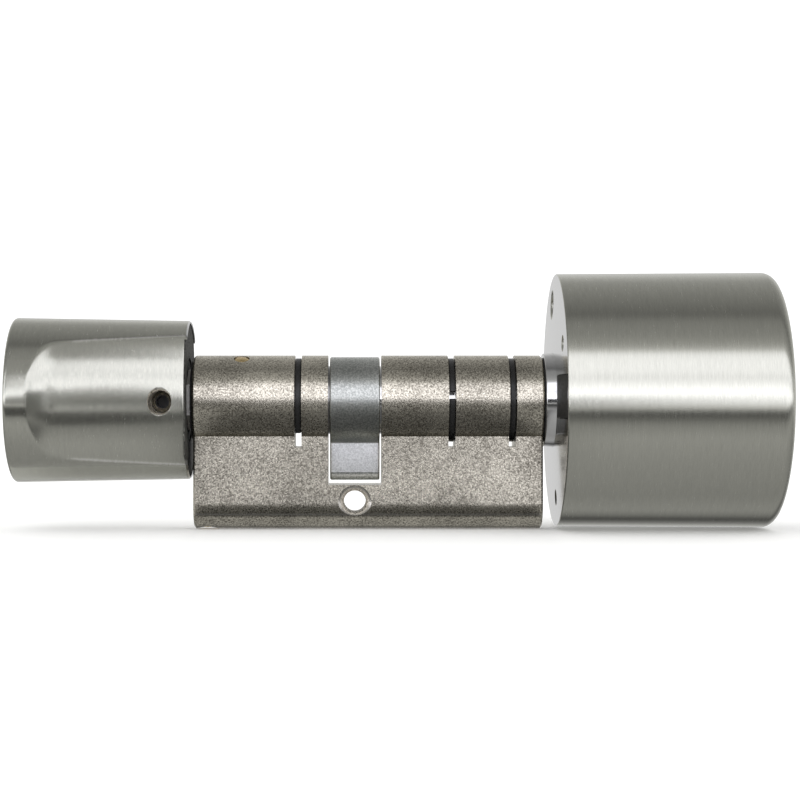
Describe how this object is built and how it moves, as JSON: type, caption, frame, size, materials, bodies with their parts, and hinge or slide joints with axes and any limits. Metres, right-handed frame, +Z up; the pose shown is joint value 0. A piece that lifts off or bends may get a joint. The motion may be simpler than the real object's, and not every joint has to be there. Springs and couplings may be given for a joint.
{
  "type": "euro cylinder",
  "caption": "Euro-profile door cylinder with a thumb knob on one side, an electronic reader knob on the other and a turning cam between them.",
  "frame": {"origin": "centre of the fixing-screw hole, in the middle of the flange, straight below the cam", "axes": "+X along the cylinder axis towards the reader knob, +Z up from the flange to the cylinder axis, -Y towards the front; the cylinder axis is at z = 19.2 mm"},
  "size_m": [0.144, 0.0484, 0.0487],
  "materials": {
    "nickel": "bead-blasted nickel plate",
    "black_clip": "blackened spring steel",
    "bronze": "plain sintered bronze",
    "brass": "turned brass",
    "spring_steel": "bright drawn",
    "hard_steel": "ground",
    "sintered_steel": "sintered, tumbled",
    "knob_steel": "brushed round the knob",
    "polished_steel": "polished",
    "black_steel": "blackened",
    "rubber": "matt",
    "black_plastic": "fine grained",
    "battery_can": "drawn can",
    "circuit_board": "solder resist",
    "copper": "enamelled wire",
    "light_guide": "frosted"
  },
  "bodies": {
    "housing": {"cylinder_body": "nickel", "left_retaining_clip": "black_clip", "right_inner_clip": "black_clip", "right_outer_clip": "black_clip", "left_bush": "bronze", "right_bush": "bronze", "bush_dowel": "brass", "friction_spring": "spring_steel", "friction_ball": "spring_steel", "chamber_plug": "brass", "anti_drill_pins": "hard_steel"},
    "cam": {"locking_cam": "sintered_steel", "cam_driver": "sintered_steel"},
    "thumb_turn": {"thumb_knob": "knob_steel", "thumb_shaft": "hard_steel", "knob_grub_screw": "black_steel", "shaft_nut": "polished_steel", "shaft_seal": "rubber", "knob_washer": "rubber"},
    "reader_knob": {"knob_shell": "knob_steel", "knob_collar": "polished_steel", "collar_seal": "rubber", "shaft_pins": "hard_steel", "reader_shaft": "polished_steel", "aerial_insert": "black_plastic", "chassis": "black_plastic", "batteries": "battery_can", "battery_contacts": "brass", "control_board": "circuit_board", "gear_motor": "battery_can", "reader_board": "circuit_board", "antenna_coil": "copper", "reader_cap": "black_plastic", "light_ring": "light_guide", "cap_seal": "rubber", "cover_screws": "black_steel"},
    "clutch": {"clutch_pin": "hard_steel", "clutch_spring": "spring_steel", "clutch_nut": "brass"},
    "lead_screw": {"lead_screw": "hard_steel"}
  },
  "joints": [
    {"name": "thumb_turn_spin", "type": "hinge", "parent": "housing", "child": "thumb_turn", "pos_m": [-0.03, 0, 0.0192], "axis": [1, 0, 0], "continuous": true},
    {"name": "cam_spin", "type": "hinge", "parent": "housing", "child": "cam", "pos_m": [0, 0, 0.0192], "axis": [1, 0, 0], "continuous": true},
    {"name": "reader_knob_spin", "type": "hinge", "parent": "housing", "child": "reader_knob", "pos_m": [0.038, 0, 0.0192], "axis": [1, 0, 0], "continuous": true},
    {"name": "clutch_slide", "type": "slide", "parent": "reader_knob", "child": "clutch", "axis": [-1, 0, 0], "range_m": [0, 0.002]},
    {"name": "lead_screw_spin", "type": "hinge", "parent": "reader_knob", "child": "lead_screw", "pos_m": [0.04, 0, 0.0192], "axis": [1, 0, 0], "range_deg": [0, 720]}
  ],
  "couplings": [
    {"joint": "cam_spin", "follows": "thumb_turn_spin", "ratio": 1},
    {"joint": "lead_screw_spin", "follows": "clutch_slide", "rad_per_m": 6283}
  ]
}
